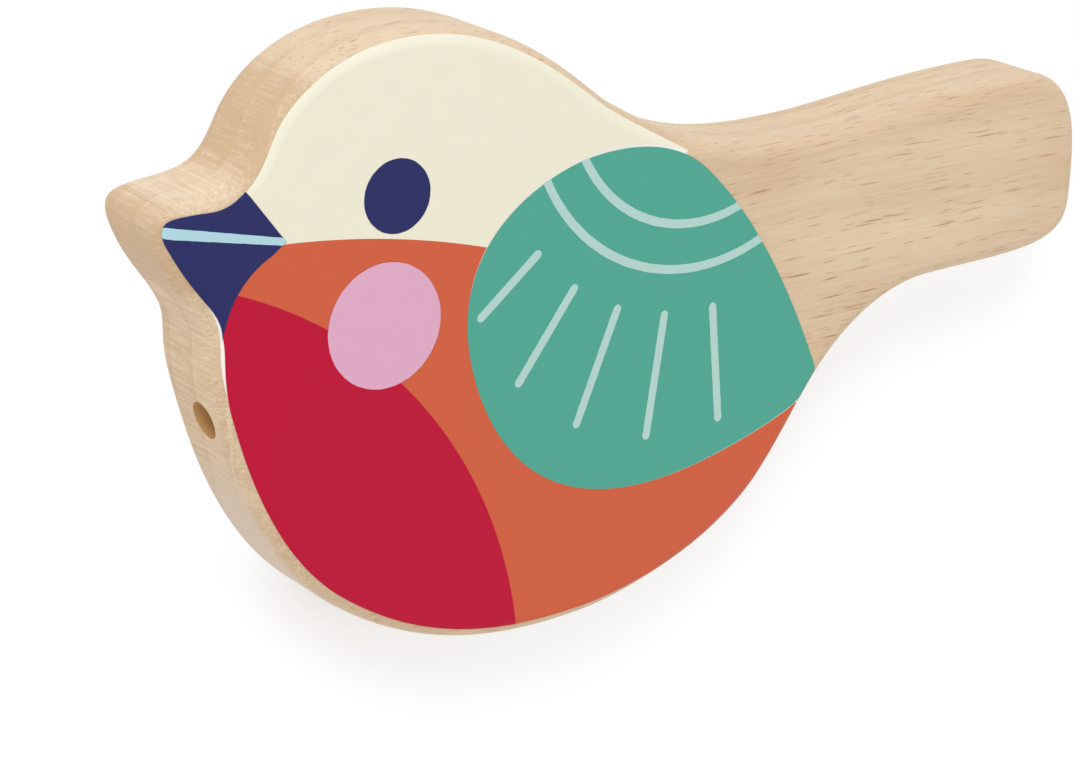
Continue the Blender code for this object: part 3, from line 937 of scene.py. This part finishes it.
def floor_material():
    """Return a pale floor that shows near white and keeps a light shadow below the bird."""
    finish = Finish(bpy.data.materials.new("floor"))
    shader = {"Base Color": FLOOR_LIT, "Roughness": 0.9, "Specular IOR Level": 0.0}
    lit = finish.fill("Principled BSDF", shader)
    shown = finish.node("ShaderNodeBsdfDiffuse", inputs={"Color": FLOOR_SHOWN})
    inputs = {"Color": FLOOR_GLOW, "Strength": FLOOR_GLOW_STRENGTH}
    glow = finish.node("ShaderNodeEmission", inputs=inputs)
    shaded = finish.node("ShaderNodeAddShader", inputs={0: shown, 1: glow})
    white = finish.node("ShaderNodeEmission", inputs={"Color": WHITE, "Strength": 1.0})
    behind = finish.step(finish.place(FLOOR_HEADING)[1], *FLOOR_FADE)
    pale = finish.node("ShaderNodeMixShader", inputs={0: behind, 1: shaded, 2: white})
    surface = finish.node("ShaderNodeMixShader", inputs={0: shown_rays(finish), 1: lit, 2: pale})
    finish.fill("Material Output", {"Surface": surface})
    return finish.owner


def light_world(scene, strength):
    """Light the scene evenly from all round, and show white where the camera sees past the floor."""
    finish = Finish(bpy.data.worlds.new("studio"))
    scene.world = finish.owner
    inputs = {"Value": shown_rays(finish), "To Min": strength, "To Max": 1.0}
    level = finish.node("ShaderNodeMapRange", inputs=inputs)
    finish.fill("Background", {"Color": WORLD_COLOUR, "Strength": level})


class WHISTLE_OT_stage(bpy.types.Operator):
    """Set up the floor, the studio light and the camera"""

    bl_idname = "whistle.stage"
    bl_label = "Stage"
    bl_options = {"REGISTER", "UNDO"}

    def execute(self, context):
        scene = context.scene
        half = FLOOR_SIZE / 2
        corners = [(-half, -half), (half, -half), (half, half), (-half, half)]
        mesh = bpy.data.meshes.new("floor")
        mesh.from_pydata([(x, y, -FLOOR_DROP) for x, y in corners], [], [(0, 1, 2, 3)])
        mesh.materials.append(floor_material())
        floor = bpy.data.objects.new("floor", mesh)
        scene.collection.objects.link(floor)

        light = scene.whistle_light
        light_world(scene, light.around)
        data = bpy.data.lights.new("key", "AREA")
        data.shape = "DISK"
        data.size = LAMP_SIZE
        data.energy = light.key
        data.color = light.tint
        key = bpy.data.objects.new("key", data)
        toward = np.array(LAMP_TOWARD)
        key.location = LAMP_DISTANCE * toward / np.linalg.norm(toward)
        key.rotation_euler = key.location.to_track_quat("Z", "Y").to_euler()
        scene.collection.objects.link(key)

        data = bpy.data.cameras.new("camera")
        data.sensor_width = SENSOR_WIDTH
        data.lens = SENSOR_WIDTH * FOCAL_LENGTH_PX / PHOTO_WIDTH
        data.clip_start = CLIP_START
        camera = bpy.data.objects.new("camera", data)
        camera.location = [value * MM for value in CAMERA_PLACE]
        camera.rotation_euler = Euler([math.radians(value) for value in CAMERA_TURN])
        scene.collection.objects.link(camera)
        scene.camera = camera
        scene.view_settings.view_transform = "Standard"
        return {"FINISHED"}


class WHISTLE_PT_panel(bpy.types.Panel):
    """Sizes, colours and steps of the bird whistle"""

    bl_idname = "WHISTLE_PT_panel"
    bl_label = "Bird Whistle"
    bl_space_type = "VIEW_3D"
    bl_region_type = "UI"
    bl_category = "Whistle"

    def draw(self, context):
        for step in STEPS:
            self.layout.operator(step.bl_idname)
        for settings in GROUPS:
            group = getattr(context.scene, settings)
            box = self.layout.box()
            for name in group.bl_rna.properties.keys():
                if name not in ("rna_type", "name"):
                    box.prop(group, name)


GROUPS = {
    "whistle_sizes": WhistleSizes,
    "whistle_colours": WhistleColours,
    "whistle_light": WhistleLight,
}
STEPS = (
    WHISTLE_OT_board,
    WHISTLE_OT_block,
    WHISTLE_OT_print,
    WHISTLE_OT_lines,
    WHISTLE_OT_stage,
)


def register():
    """Register the classes and add the settings to the scene."""
    for each in (*GROUPS.values(), *STEPS, WHISTLE_PT_panel):
        bpy.utils.register_class(each)
    for name, group in GROUPS.items():
        setattr(bpy.types.Scene, name, PointerProperty(type=group))


def unregister():
    """Remove the settings and the classes."""
    for name in GROUPS:
        delattr(bpy.types.Scene, name)
    for each in (WHISTLE_PT_panel, *reversed(STEPS), *GROUPS.values()):
        bpy.utils.unregister_class(each)


def main():
    """Build the whistle and its stage."""
    register()
    bpy.ops.whistle.board()
    bpy.ops.whistle.block()
    bpy.ops.whistle.print()
    bpy.ops.whistle.lines()
    bpy.ops.whistle.stage()


if __name__ == "__main__":
    main()
